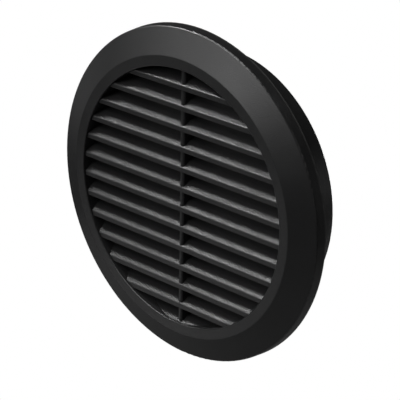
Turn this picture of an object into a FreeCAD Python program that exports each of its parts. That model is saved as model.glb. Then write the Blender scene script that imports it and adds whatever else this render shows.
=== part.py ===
"""Round vent cover with fixed slats, moulded in one piece.

The frame has +Z up. The spigot's axis lies along Y, the front faces -Y, and the origin is on that
axis in the plane of the wall, where the back of the flange's rim rests. Lengths are millimetres
and angles are degrees.
"""
import FreeCAD, Part
import math
import os
import Sketcher

DRIVING_SIZES = [
    ("spigot_radius", 49.5, "outside of the spigot, for a 100 mm duct"),
    ("spigot_wall", 1.8, "spigot wall, which also sets the opening's radius"),
    ("spigot_length", 18.2, "spigot behind the wall plane"),
    ("spigot_end_round", 0.4, "rounding of the spigot's outer end"),
    ("face_overhang", 2.2, "flat ring beyond the spigot's outside, up to the cone"),
    ("lip_round", 0.4, "rounding of the opening's front edge"),
    ("bevel_width", 9.5, "conical outer face, measured along the radius"),
    ("bevel_rise", 3.9, "how far the flat ring stands in front of the rim's edge"),
    ("crest_round", 1.2, "rounding between the flat ring and the cone"),
    ("rim_height", 4.1, "side of the rim, from the wall to the cone"),
    ("rim_flare", 0.3, "how much wider the rim is at the wall"),
    ("rim_round", 0.7, "rounding between the cone and the rim's side"),
    ("rim_wall", 1.8, "width of the rim's back, which rests on the wall"),
    ("flange_wall", 2.0, "wall of the hollow flange"),
    ("slat_pitch", 7.49, "from one slat to the next"),
    ("slat_angle", 30.0, "slope of a slat, up towards the back"),
    ("slat_depth", 10.0, "slat from its nose to its rear edge, along the axis"),
    ("slat_wall", 1.5, "thickness of a slat"),
    ("nose_round", 0.7, "rounding of a slat's upper front edge"),
    ("nose_setback", 0.8, "slat noses behind the flat ring"),
    ("top_gap", 7.2, "from the opening's top to the first slat's lower front edge"),
    ("mullion_wall", 2.0, "thickness of the upright mullion"),
    ("mullion_offset", 1.2, "mullion's middle plane from the axis, towards +X"),
    ("mullion_setback", 0.3, "mullion's front edge behind the slat noses"),
    ("mullion_round", 0.8, "rounding of the mullion's front edges"),
]

# Places that follow from the driving sizes, as expressions on the sheet.
OPENING_RADIUS = "sizes.spigot_radius - sizes.spigot_wall"
FACE_STAND = "sizes.rim_height + sizes.bevel_rise"
NOSE_STAND = f"{FACE_STAND} - sizes.nose_setback"
FIRST_SLAT = f"{OPENING_RADIUS} - sizes.top_gap"
SEAT_RADIUS = "sizes.spigot_radius - sizes.spigot_wall / 2"
SLAT_STEPS = f"floor(({FIRST_SLAT} + {OPENING_RADIUS}) / sizes.slat_pitch) + 1"

# The sketch's own origin, in Sketcher's numbers for an element and a point of it.
ORIGIN = (-1, 1)


def add_sheet(doc):
    """Spreadsheet of driving sizes: name, value and what it is."""
    sheet = doc.addObject("Spreadsheet::Sheet", "sizes")
    for row, (name, value, note) in enumerate(DRIVING_SIZES, start=1):
        sheet.set(f"A{row}", name)
        sheet.set(f"B{row}", str(value))
        sheet.set(f"C{row}", note)
        sheet.setAlias(f"B{row}", name)
    doc.recompute()
    return sheet


def add_sketch(body, name, plane_role):
    """Sketch on one of the body's own origin planes."""
    sketch = body.newObject("Sketcher::SketchObject", name)
    plane = next(item for item in body.Origin.OriginFeatures if item.Role == plane_role)
    sketch.AttachmentSupport = [(plane, "")]
    sketch.MapMode = "FlatFace"
    return sketch


def line(sketch, x0, y0, x1, y1):
    start = FreeCAD.Vector(x0, y0, 0)
    end = FreeCAD.Vector(x1, y1, 0)
    return sketch.addGeometry(Part.LineSegment(start, end), False)


def arc(sketch, x, y, radius, start_angle, end_angle):
    circle = Part.Circle(FreeCAD.Vector(x, y, 0), FreeCAD.Vector(0, 0, 1), radius)
    bow = Part.ArcOfCircle(circle, math.radians(start_angle), math.radians(end_angle))
    return sketch.addGeometry(bow, False)


def start(element):
    """First end of a line or arc, or a lone point, in Sketcher's numbers."""
    return element, 1


def end(element):
    """Second end of a line or arc, in Sketcher's numbers."""
    return element, 2


def corner_point(sketch, x, y, first_line, second_line):
    """Construction point where two rounded-off lines would meet."""
    point = sketch.addGeometry(Part.Point(FreeCAD.Vector(x, y, 0)), True)
    for edge in (first_line, second_line):
        sketch.addConstraint(Sketcher.Constraint("PointOnObject", *start(point), edge))
    return point


def join(sketch, kind, *pairs):
    """Meet two ends in each pair: kind is Coincident or Tangent."""
    for first, second in pairs:
        sketch.addConstraint(Sketcher.Constraint(kind, *first, *second))


def size(sketch, name, expression, kind, *elements):
    """Dimension of the sketch, bound to an expression on the sheet."""
    value = float(sketch.evalExpression(expression))
    if kind == "Angle":
        value = math.radians(value)
    index = sketch.addConstraint(Sketcher.Constraint(kind, *elements, value))
    sketch.renameConstraint(index, name)
    sketch.setExpression(f"Constraints.{name}", f"{expression} * 1 deg" if kind == "Angle" else expression)


def add_ring(doc, sheet):
    """Flange, flat ring and spigot: one half-section turned about the Y axis."""
    body = doc.addObject("PartDesign::Body", "ring")
    sketch = add_sketch(body, "ring_section", "XY_Plane")

    outer = sheet.spigot_radius
    bore = outer - sheet.spigot_wall
    crest = outer + sheet.face_overhang
    edge = crest + sheet.bevel_width
    rim = edge + sheet.rim_flare
    front = -(sheet.rim_height + sheet.bevel_rise)
    slope = math.degrees(math.atan2(sheet.bevel_rise, sheet.bevel_width))
    flare = math.degrees(math.atan2(sheet.rim_height, sheet.rim_flare))
    lip = sheet.lip_round
    tip = sheet.spigot_end_round

    bore_wall = line(sketch, bore, sheet.spigot_length, bore, front + lip)
    lip_arc = arc(sketch, bore + lip, front + lip, lip, 180, 270)
    face = line(sketch, bore + lip, front, crest - sheet.crest_round / 4, front)
    crest_arc = arc(sketch, crest, front + sheet.crest_round, sheet.crest_round, 270, 270 + slope)
    cone = line(sketch, crest + sheet.crest_round / 4, front, edge, -sheet.rim_height)
    rim_arc = arc(sketch, edge - sheet.rim_round, -sheet.rim_height + sheet.rim_round,
                  sheet.rim_round, 270 + slope, 270 + flare)
    rim_side = line(sketch, edge, -sheet.rim_height, rim, 0)
    rim_back = line(sketch, rim, 0, rim - sheet.rim_wall, 0)
    rim_inside = line(sketch, rim - sheet.rim_wall, 0, edge - sheet.rim_wall, -sheet.rim_height / 2)
    cone_back = line(sketch, edge - sheet.rim_wall, -sheet.rim_height / 2, crest, front + sheet.flange_wall)
    face_back = line(sketch, crest, front + sheet.flange_wall, outer, front + sheet.flange_wall)
    spigot_side = line(sketch, outer, front + sheet.flange_wall, outer, sheet.spigot_length - tip)
    tip_arc = arc(sketch, outer - tip, sheet.spigot_length - tip, tip, 0, 90)
    spigot_end = line(sketch, outer - tip, sheet.spigot_length, bore, sheet.spigot_length)

    join(sketch, "Tangent",
         (end(bore_wall), start(lip_arc)), (end(lip_arc), start(face)),
         (end(face), start(crest_arc)), (end(crest_arc), start(cone)),
         (end(cone), start(rim_arc)), (end(rim_arc), start(rim_side)),
         (end(spigot_side), start(tip_arc)), (end(tip_arc), start(spigot_end)))
    join(sketch, "Coincident",
         (end(rim_side), start(rim_back)), (end(rim_back), start(rim_inside)),
         (end(rim_inside), start(cone_back)), (end(cone_back), start(face_back)),
         (end(face_back), start(spigot_side)), (end(spigot_end), start(bore_wall)))
    for upright in (bore_wall, spigot_side):
        sketch.addConstraint(Sketcher.Constraint("Vertical", upright))
    for level in (face, face_back, spigot_end, rim_back):
        sketch.addConstraint(Sketcher.Constraint("Horizontal", level))
    sketch.addConstraint(Sketcher.Constraint("Horizontal", *ORIGIN, *start(rim_back)))
    sketch.addConstraint(Sketcher.Constraint("Parallel", rim_inside, rim_side))
    sketch.addConstraint(Sketcher.Constraint("Parallel", cone_back, cone))
    crest_point = corner_point(sketch, crest, front, face, cone)
    edge_point = corner_point(sketch, edge, -sheet.rim_height, cone, rim_side)

    size(sketch, "bore_radius", OPENING_RADIUS, "DistanceX", *ORIGIN, *start(bore_wall))
    size(sketch, "spigot_radius", "sizes.spigot_radius", "DistanceX", *ORIGIN, *end(spigot_side))
    size(sketch, "spigot_length", "sizes.spigot_length", "DistanceY", *ORIGIN, *end(spigot_end))
    size(sketch, "face_overhang", "sizes.face_overhang",
         "DistanceX", *start(spigot_side), *start(crest_point))
    size(sketch, "bevel_width", "sizes.bevel_width", "DistanceX", *start(crest_point), *start(edge_point))
    size(sketch, "bevel_rise", "sizes.bevel_rise", "DistanceY", *start(crest_point), *start(edge_point))
    size(sketch, "rim_height", "sizes.rim_height", "DistanceY", *start(edge_point), *end(rim_side))
    size(sketch, "rim_flare", "sizes.rim_flare", "DistanceX", *start(edge_point), *end(rim_side))
    size(sketch, "rim_wall", "sizes.rim_wall", "DistanceX", *end(rim_back), *start(rim_back))
    size(sketch, "cone_wall", "sizes.flange_wall", "Distance", *start(crest_point), cone_back)
    size(sketch, "face_wall", "sizes.flange_wall", "DistanceY", *start(crest_point), *start(face_back))
    size(sketch, "lip_round", "sizes.lip_round", "Radius", lip_arc)
    size(sketch, "crest_round", "sizes.crest_round", "Radius", crest_arc)
    size(sketch, "rim_round", "sizes.rim_round", "Radius", rim_arc)
    size(sketch, "spigot_end_round", "sizes.spigot_end_round", "Radius", tip_arc)

    turned = body.newObject("PartDesign::Revolution", "ring_turned")
    turned.Profile = sketch
    turned.ReferenceAxis = (sketch, ["V_Axis"])
    turned.Angle = 360
    body.Tip = turned
    return body


def add_mullion(body, sheet):
    """Upright plate across the opening, rounded in front and as deep as the slats behind it."""
    sketch = add_sketch(body, "mullion_section", "XY_Plane")
    left = sheet.mullion_offset - sheet.mullion_wall / 2
    right = left + sheet.mullion_wall
    nose = -(sheet.rim_height + sheet.bevel_rise - sheet.nose_setback)
    front = nose + sheet.mullion_setback
    back = nose + sheet.slat_depth
    bend = sheet.mullion_round

    front_edge = line(sketch, left + bend, front, right - bend, front)
    right_arc = arc(sketch, right - bend, front + bend, bend, 270, 360)
    right_side = line(sketch, right, front + bend, right, back)
    back_edge = line(sketch, right, back, left, back)
    left_side = line(sketch, left, back, left, front + bend)
    left_arc = arc(sketch, left + bend, front + bend, bend, 180, 270)
    join(sketch, "Tangent",
         (end(front_edge), start(right_arc)), (end(right_arc), start(right_side)),
         (end(left_side), start(left_arc)), (end(left_arc), start(front_edge)))
    join(sketch, "Coincident",
         (end(right_side), start(back_edge)), (end(back_edge), start(left_side)))
    for level in (front_edge, back_edge):
        sketch.addConstraint(Sketcher.Constraint("Horizontal", level))
    for upright in (right_side, left_side):
        sketch.addConstraint(Sketcher.Constraint("Vertical", upright))
    size(sketch, "wall", "sizes.mullion_wall", "DistanceX", *end(back_edge), *start(back_edge))
    size(sketch, "right_side", "sizes.mullion_offset + sizes.mullion_wall / 2",
         "DistanceX", *ORIGIN, *start(back_edge))
    size(sketch, "front", f"{NOSE_STAND} - sizes.mullion_setback", "DistanceY", *start(front_edge), *ORIGIN)
    size(sketch, "depth", "sizes.slat_depth - sizes.mullion_setback",
         "DistanceY", *end(front_edge), *start(back_edge))
    size(sketch, "right_round", "sizes.mullion_round", "Radius", right_arc)
    size(sketch, "left_round", "sizes.mullion_round", "Radius", left_arc)

    plate = body.newObject("PartDesign::Pad", "mullion_plate")
    plate.Profile = sketch
    plate.SideType = "Symmetric"
    plate.setExpression("Length", f"2 * ({SEAT_RADIUS})")
    return plate


def add_slats(body, sheet):
    """One slat section with a rounded nose, drawn out along X and repeated down the opening."""
    sketch = add_sketch(body, "slat_section", "YZ_Plane")
    angle = math.radians(sheet.slat_angle)
    nose = -(sheet.rim_height + sheet.bevel_rise - sheet.nose_setback)
    foot = sheet.spigot_radius - sheet.spigot_wall - sheet.top_gap
    crown = foot + sheet.slat_wall / math.cos(angle)
    rise = sheet.slat_depth * math.tan(angle)
    back = nose + sheet.slat_depth
    bend = sheet.nose_round

    nose_face = line(sketch, nose, foot, nose, crown - bend / 2)
    nose_arc = arc(sketch, nose + bend, crown - bend / 2, bend, 90 + sheet.slat_angle, 180)
    top = line(sketch, nose + bend / 2, crown, back, crown + rise)
    rear = line(sketch, back, crown + rise, back, foot + rise)
    under = line(sketch, back, foot + rise, nose, foot)

    join(sketch, "Tangent", (end(nose_face), end(nose_arc)), (start(nose_arc), start(top)))
    join(sketch, "Coincident",
         (end(top), start(rear)), (end(rear), start(under)), (end(under), start(nose_face)))
    sketch.addConstraint(Sketcher.Constraint("Vertical", nose_face))
    sketch.addConstraint(Sketcher.Constraint("Perpendicular", top, rear))
    sketch.addConstraint(Sketcher.Constraint("Parallel", top, under))
    size(sketch, "nose_place", NOSE_STAND, "DistanceX", *start(nose_face), *ORIGIN)
    size(sketch, "foot_height", FIRST_SLAT, "DistanceY", *ORIGIN, *start(nose_face))
    size(sketch, "slope", "sizes.slat_angle", "Angle", top)
    size(sketch, "depth", "sizes.slat_depth", "DistanceX", *start(nose_face), *start(under))
    size(sketch, "wall", "sizes.slat_wall", "Distance", *start(nose_face), top)
    size(sketch, "nose_round", "sizes.nose_round", "Radius", nose_arc)

    slat = body.newObject("PartDesign::Pad", "first_slat")
    slat.Profile = sketch
    slat.SideType = "Symmetric"
    slat.setExpression("Length", f"2 * ({SEAT_RADIUS})")

    field = body.newObject("PartDesign::LinearPattern", "slat_field")
    field.Originals = [slat]
    field.Direction = (sketch, ["V_Axis"])
    field.Reversed = True
    field.Mode = "Extent"
    field.setExpression("Occurrences", f"{SLAT_STEPS} + 1")
    field.setExpression("Length", f"sizes.slat_pitch * ({SLAT_STEPS})")
    return field


def add_louvre(doc, sheet):
    """Slats and mullion, trimmed to a cylinder that ends inside the round wall."""
    body = doc.addObject("PartDesign::Body", "louvre")
    add_mullion(body, sheet)
    body.Tip = add_slats(body, sheet)

    seat = doc.addObject("Part::Cylinder", "louvre_seat")
    seat.setExpression("Radius", SEAT_RADIUS)
    seat.setExpression("Height", f"{FACE_STAND} + sizes.spigot_length")
    seat.Placement = FreeCAD.Placement(FreeCAD.Vector(), FreeCAD.Rotation(FreeCAD.Vector(1, 0, 0), -90))
    seat.setExpression("Placement.Base.y", f"-({FACE_STAND})")

    trimmed = doc.addObject("Part::Common", "louvre_trimmed")
    trimmed.Base = body
    trimmed.Tool = seat
    return trimmed


def add_vent_cover(doc, sheet):
    cover = doc.addObject("Part::MultiFuse", "vent_cover")
    cover.Label = "vent_cover"
    cover.Shapes = [add_ring(doc, sheet), add_louvre(doc, sheet)]
    cover.Refine = False
    return cover


def check(doc, part):
    """Stop where an object failed to rebuild or the part isn't one sound solid."""
    failed = [item.Name for item in doc.Objects if {"Invalid", "Error"} & set(item.State)]
    if failed:
        raise RuntimeError(f"failed to rebuild: {failed}")
    if part.Shape.isNull() or not part.Shape.isValid():
        raise RuntimeError(f"{part.Label} has no sound shape")
    if len(part.Shape.Solids) != 1:
        raise RuntimeError(f"{part.Label} is {len(part.Shape.Solids)} solids, not one")


def main():
    doc = FreeCAD.newDocument("round_vent_cover")
    sheet = add_sheet(doc)
    cover = add_vent_cover(doc, sheet)
    doc.recompute()
    check(doc, cover)
    os.makedirs("parts", exist_ok=True)
    solid = cover.Shape.Solids[0]
    solid.exportStep(os.path.join("parts", f"{cover.Label}.step"))
    box = solid.optimalBoundingBox()
    extents = " x ".join(f"{length:.2f}" for length in (box.XLength, box.YLength, box.ZLength))
    print(f"{cover.Label}: {solid.Volume:.0f} mm3, {extents} mm")


main()
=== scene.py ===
"""Looks of the round vent cover: satin black plastic, soft studio light and the photograph's view.

Lengths are metres in the part's own frame: +Z up, the slats face -Y, the spigot points along +Y.
"""
import bpy
import math
from mathutils import Matrix, Vector


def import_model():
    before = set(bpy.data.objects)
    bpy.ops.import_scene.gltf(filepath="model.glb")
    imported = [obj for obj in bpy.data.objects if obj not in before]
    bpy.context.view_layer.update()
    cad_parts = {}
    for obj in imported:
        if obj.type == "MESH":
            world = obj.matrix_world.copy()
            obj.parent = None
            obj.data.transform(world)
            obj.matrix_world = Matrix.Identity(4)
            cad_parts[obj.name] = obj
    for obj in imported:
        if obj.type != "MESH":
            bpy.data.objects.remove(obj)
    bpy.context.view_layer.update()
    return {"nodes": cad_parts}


# The photograph's view: where the camera stands round the part, how it leans, and its lens.
VIEW_AZIMUTH = 43.400
VIEW_ELEVATION = 22.620
VIEW_ROLL = 0.965
VIEW_DISTANCE = 0.62334
VIEW_AIM = Vector((0.007611, -0.004029, 0.000958))
FOCAL_LENGTH_MM = 160.89
SENSOR_WIDTH_MM = 36.0

# The stage: a pale floor well below the part, which sits high on a wall in use.
FLOOR_DROP = 0.45
FLOOR_SIZE = 1.6
FLOOR_COLOUR = (0.8, 0.8, 0.8, 1.0)
BACKDROP_WHITE = (1.0, 1.0, 1.0, 1.0)
AMBIENT_COLOUR = (0.9, 0.95, 1.0, 1.0)
AMBIENT_STRENGTH = 0.02

# Strength of the white backdrop where it is seen. The photographed plastic mirrors a darkened studio,
# so gloss sees the backdrop far more dimly.
SEEN_WHITE = 1.0
MIRRORED_FLOOR = 0.155
MIRRORED_WORLD = 0.01

# Softboxes: azimuth and elevation in degrees as for the view, distance, width, height and watts.
SOFTBOXES = {
    "key_softbox": (-62.0, 55.0, 0.25, 0.04, 0.04, 0.37),
    "top_softbox": (0.0, 48.0, 1.0, 0.25, 0.25, 2.80),
    "crown_softbox": (-30.0, 66.0, 1.0, 0.25, 0.25, 2.40),
    "front_softbox": (-15.0, 24.0, 1.0, 0.25, 0.25, 1.95),
    "front_left_softbox": (-40.0, 14.0, 1.0, 0.35, 0.25, 0.75),
    "left_softbox": (-75.0, 36.0, 1.0, 0.20, 0.20, 1.20),
    "left_edge_softbox": (-90.0, -7.0, 1.0, 0.55, 0.25, 0.13),
    "low_softbox": (-45.0, -33.0, 0.33, 0.09, 0.09, 0.027),
    "rear_right_softbox": (120.0, 55.0, 1.0, 0.25, 0.25, 0.45),
    "rear_left_softbox": (-140.0, -12.0, 1.0, 0.25, 0.25, 1.30),
    "back_softbox": (156.0, -4.0, 1.0, 0.30, 0.30, 0.60),
    "duct_softbox": (-172.0, -20.0, 1.0, 0.45, 0.45, 9.0),
    "right_softbox": (62.0, 10.0, 1.0, 0.50, 0.50, 0.50),
}

# Black plastic: colour and roughness swing between these pairs over smudges and grain.
PLASTIC_DEEP = (0.0090, 0.0090, 0.0092, 1.0)
PLASTIC_DUSTY = (0.0120, 0.0120, 0.0122, 1.0)
SMUDGE_ROUGHNESS = (0.385, 0.415)
GRAIN_ROUGHNESS = (-0.02, 0.02)

# Noise patterns as scale per metre and detail, and the span that most of their values keep to.
SMUDGE_NOISE = (70.0, 5.0)
GRAIN_NOISE = (2600.0, 2.0)
FLOW_NOISE = (110.0, 2.0)
HIGHLIGHT_BREAK_NOISE = (260.0, 3.0)
NOISE_SPAN = (0.3, 0.7)

# Relief of the flow marks and of the grain: strength each, and the depth in metres of both.
FLOW_RELIEF = 0.03
GRAIN_RELIEF = 0.20
RELIEF_DEPTH = 0.0002

# Edges that are circles round the part's axis: radius, place along the axis, and spread of the mark,
# which is burnish wear in the first table and a painted highlight in the second.
BURNISHED_EDGES = {
    "rim_edge": (0.0611, -0.0040, 0.0008),
    "opening_lip": (0.0477, -0.0079, 0.0006),
}
BURNISH_ROUGHNESS = -0.06
# Painted highlight: a lighter base colour in broken patches along the rim's back edge, where a rounded
# edge would catch a thin highlight.
HIGHLIGHT_PAINTED_EDGES = {
    "rim_back_edge": (0.0615, 0.0, 0.0009),
}
PAINTED_HIGHLIGHT_COLOUR = (0.060, 0.060, 0.058, 1.0)
PAINTED_HIGHLIGHT_COVER = (0.35, 1.0)


def direction(azimuth, elevation):
    turn, lift = math.radians(azimuth), math.radians(elevation)
    return Vector((math.sin(turn) * math.cos(lift), -math.cos(turn) * math.cos(lift), math.sin(lift)))


def make_camera():
    """Camera on the photograph's line of sight, leaning by its roll about that line."""
    back = direction(VIEW_AZIMUTH, VIEW_ELEVATION)
    level = Vector((0.0, 0.0, 1.0)).cross(back).normalized()
    upright = back.cross(level)
    lean = math.radians(VIEW_ROLL)
    across = level * math.cos(lean) + upright * math.sin(lean)
    above = upright * math.cos(lean) - level * math.sin(lean)
    data = bpy.data.cameras.new("photo_view")
    data.sensor_width = SENSOR_WIDTH_MM
    data.lens = FOCAL_LENGTH_MM
    camera = bpy.data.objects.new("photo_view", data)
    turn = Matrix((across, above, back)).transposed().to_4x4()
    camera.matrix_world = Matrix.Translation(VIEW_AIM + back * VIEW_DISTANCE) @ turn
    bpy.context.scene.collection.objects.link(camera)
    bpy.context.scene.camera = camera


def make_softbox(name, azimuth, elevation, distance, width, height, watts):
    """Rectangular lamp that faces the part."""
    data = bpy.data.lights.new(name, "AREA")
    data.shape = "RECTANGLE"
    data.size = width
    data.size_y = height
    data.energy = watts
    lamp = bpy.data.objects.new(name, data)
    back = direction(azimuth, elevation)
    lamp.location = back * distance
    lamp.rotation_mode = "QUATERNION"
    lamp.rotation_quaternion = (-back).to_track_quat("-Z", "Y")
    lamp.visible_camera = False
    bpy.context.scene.collection.objects.link(lamp)


def feed(tree, socket, value):
    """Gives a node's input what it needs: a link from another socket, or a plain number or colour."""
    if isinstance(value, bpy.types.NodeSocket):
        tree.links.new(value, socket)
    else:
        socket.default_value = value


def calculate(tree, operation, *values):
    """Math node on one or two values, each a socket or a number."""
    node = tree.nodes.new("ShaderNodeMath")
    node.operation = operation
    for socket, value in zip(node.inputs, values):
        feed(tree, socket, value)
    return node.outputs[0]


def hypotenuse(tree, first, second):
    """Square root of the sum of two squares."""
    squares = [calculate(tree, "MULTIPLY", side, side) for side in (first, second)]
    return calculate(tree, "SQRT", calculate(tree, "ADD", *squares))


def remap(tree, value, source, target):
    """Value carried smoothly from one range to another."""
    node = tree.nodes.new("ShaderNodeMapRange")
    node.interpolation_type = "SMOOTHSTEP"
    node.inputs["From Min"].default_value, node.inputs["From Max"].default_value = source
    node.inputs["To Min"].default_value, node.inputs["To Max"].default_value = target
    tree.links.new(value, node.inputs["Value"])
    return node.outputs["Result"]


def mix_colours(tree, factor, first, second):
    """Colour between two, each a socket or a plain colour."""
    node = tree.nodes.new("ShaderNodeMix")
    node.data_type = "RGBA"
    for name, value in (("Factor", factor), ("A", first), ("B", second)):
        feed(tree, node.inputs[name], value)
    return node.outputs["Result"]


def mix_shaders(tree, factor, first, second):
    """Shader between two others."""
    node = tree.nodes.new("ShaderNodeMixShader")
    for socket, value in zip(node.inputs, (factor, first, second)):
        tree.links.new(value, socket)
    return node.outputs[0]


def glow(tree, kind, colour, strength):
    """Shader of even light: a Background node in the world, or an Emission node on the floor."""
    node = tree.nodes.new(kind)
    node.inputs["Color"].default_value = colour
    node.inputs["Strength"].default_value = strength
    return node.outputs[0]


def backdrop_shader(tree, plain, white, dim):
    """Shader of a backdrop: white where it is seen, dim in gloss, plain for light that it gives back."""
    rays = tree.nodes.new("ShaderNodeLightPath").outputs
    seen = calculate(tree, "MAXIMUM", rays["Is Camera Ray"], rays["Is Transmission Ray"])
    unseen = mix_shaders(tree, rays["Is Glossy Ray"], plain, dim)
    return mix_shaders(tree, seen, unseen, white)


def make_world():
    """Weak ambient light, with a white backdrop where it is seen."""
    world = bpy.data.worlds.new("studio")
    bpy.context.scene.world = world
    world.use_nodes = True
    tree = world.node_tree
    tree.nodes.clear()
    ambient = glow(tree, "ShaderNodeBackground", AMBIENT_COLOUR, AMBIENT_STRENGTH)
    white = glow(tree, "ShaderNodeBackground", BACKDROP_WHITE, SEEN_WHITE)
    dim = glow(tree, "ShaderNodeBackground", BACKDROP_WHITE, MIRRORED_WORLD)
    output = tree.nodes.new("ShaderNodeOutputWorld")
    tree.links.new(backdrop_shader(tree, ambient, white, dim), output.inputs["Surface"])


def make_floor():
    """Pale square floor under the part, white where it is seen."""
    half = FLOOR_SIZE / 2
    mesh = bpy.data.meshes.new("floor")
    corners = [(-half, -half, -FLOOR_DROP), (half, -half, -FLOOR_DROP),
               (half, half, -FLOOR_DROP), (-half, half, -FLOOR_DROP)]
    mesh.from_pydata(corners, [], [(0, 1, 2, 3)])
    floor = bpy.data.objects.new("floor", mesh)
    bpy.context.scene.collection.objects.link(floor)
    material = bpy.data.materials.new("pale_floor")
    material.use_nodes = True
    tree = material.node_tree
    tree.nodes.clear()
    matt = tree.nodes.new("ShaderNodeBsdfDiffuse")
    matt.inputs["Color"].default_value = FLOOR_COLOUR
    white = glow(tree, "ShaderNodeEmission", BACKDROP_WHITE, SEEN_WHITE)
    dim = glow(tree, "ShaderNodeEmission", BACKDROP_WHITE, MIRRORED_FLOOR)
    output = tree.nodes.new("ShaderNodeOutputMaterial")
    tree.links.new(backdrop_shader(tree, matt.outputs[0], white, dim), output.inputs["Surface"])
    mesh.materials.append(material)


def noise_fac(tree, place, pattern):
    """Noise over Object coordinates, as a value between 0 and 1."""
    noise = tree.nodes.new("ShaderNodeTexNoise")
    noise.inputs["Scale"].default_value, noise.inputs["Detail"].default_value = pattern
    tree.links.new(place, noise.inputs["Vector"])
    return noise.outputs["Fac"]


def edge_fac(tree, place, edges):
    """Mask of the named edges, for burnish wear and for the painted highlight: 1 on each edge's circle,
    fading to 0 at its spread from that circle.
    """
    apart = tree.nodes.new("ShaderNodeSeparateXYZ")
    tree.links.new(place, apart.inputs[0])
    radius = hypotenuse(tree, apart.outputs["X"], apart.outputs["Z"])
    total = 0.0
    for edge_radius, edge_y, spread in edges.values():
        off_radius = calculate(tree, "SUBTRACT", radius, edge_radius)
        off_y = calculate(tree, "SUBTRACT", apart.outputs["Y"], edge_y)
        edge_nearness = remap(tree, hypotenuse(tree, off_radius, off_y), (0.0, spread), (1.0, 0.0))
        total = calculate(tree, "ADD", total, edge_nearness)
    return total


def add_relief(tree, height, strength):
    """Bump node of the plastic's shallow relief."""
    bump = tree.nodes.new("ShaderNodeBump")
    bump.inputs["Strength"].default_value = strength
    bump.inputs["Distance"].default_value = RELIEF_DEPTH
    tree.links.new(height, bump.inputs["Height"])
    return bump


def make_black_plastic():
    """Satin black moulded plastic: smudges, fine grain and flow marks, burnished edges, and a highlight
    painted in lighter colour along the rim's back edge.
    """
    material = bpy.data.materials.new("black_plastic_satin")
    material.use_nodes = True
    tree = material.node_tree
    shader = tree.nodes["Principled BSDF"]
    place = tree.nodes.new("ShaderNodeTexCoord").outputs["Object"]
    patterns = (SMUDGE_NOISE, GRAIN_NOISE, FLOW_NOISE, HIGHLIGHT_BREAK_NOISE)
    smudge, grain, flow, highlight_breaks = (noise_fac(tree, place, pattern) for pattern in patterns)

    plain = mix_colours(tree, smudge, PLASTIC_DEEP, PLASTIC_DUSTY)
    # Painted highlight: the base colour turns lighter in patches along the rim's back edge.
    highlight_patches = remap(tree, highlight_breaks, NOISE_SPAN, PAINTED_HIGHLIGHT_COVER)
    painted_highlight = calculate(tree, "MULTIPLY", edge_fac(tree, place, HIGHLIGHT_PAINTED_EDGES), highlight_patches)
    tree.links.new(mix_colours(tree, painted_highlight, plain, PAINTED_HIGHLIGHT_COLOUR), shader.inputs["Base Color"])

    smudged = remap(tree, smudge, NOISE_SPAN, SMUDGE_ROUGHNESS)
    grained = remap(tree, grain, NOISE_SPAN, GRAIN_ROUGHNESS)
    burnished = calculate(tree, "MULTIPLY", edge_fac(tree, place, BURNISHED_EDGES), BURNISH_ROUGHNESS)
    moulded = calculate(tree, "ADD", smudged, grained)
    tree.links.new(calculate(tree, "ADD", moulded, burnished), shader.inputs["Roughness"])

    flow_marks = add_relief(tree, flow, FLOW_RELIEF)
    fine_grain = add_relief(tree, grain, GRAIN_RELIEF)
    tree.links.new(flow_marks.outputs["Normal"], fine_grain.inputs["Normal"])
    tree.links.new(fine_grain.outputs["Normal"], shader.inputs["Normal"])
    return material


def main():
    """Dresses the CAD node in its plastic and sets up stage, light and view."""
    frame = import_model()
    bpy.context.scene.view_settings.view_transform = "Standard"
    plastic = make_black_plastic()
    cover = frame["nodes"]["vent_cover"]
    for slot in cover.material_slots:
        slot.material = plastic
    make_world()
    make_floor()
    for name, place in SOFTBOXES.items():
        make_softbox(name, *place)
    make_camera()


main()
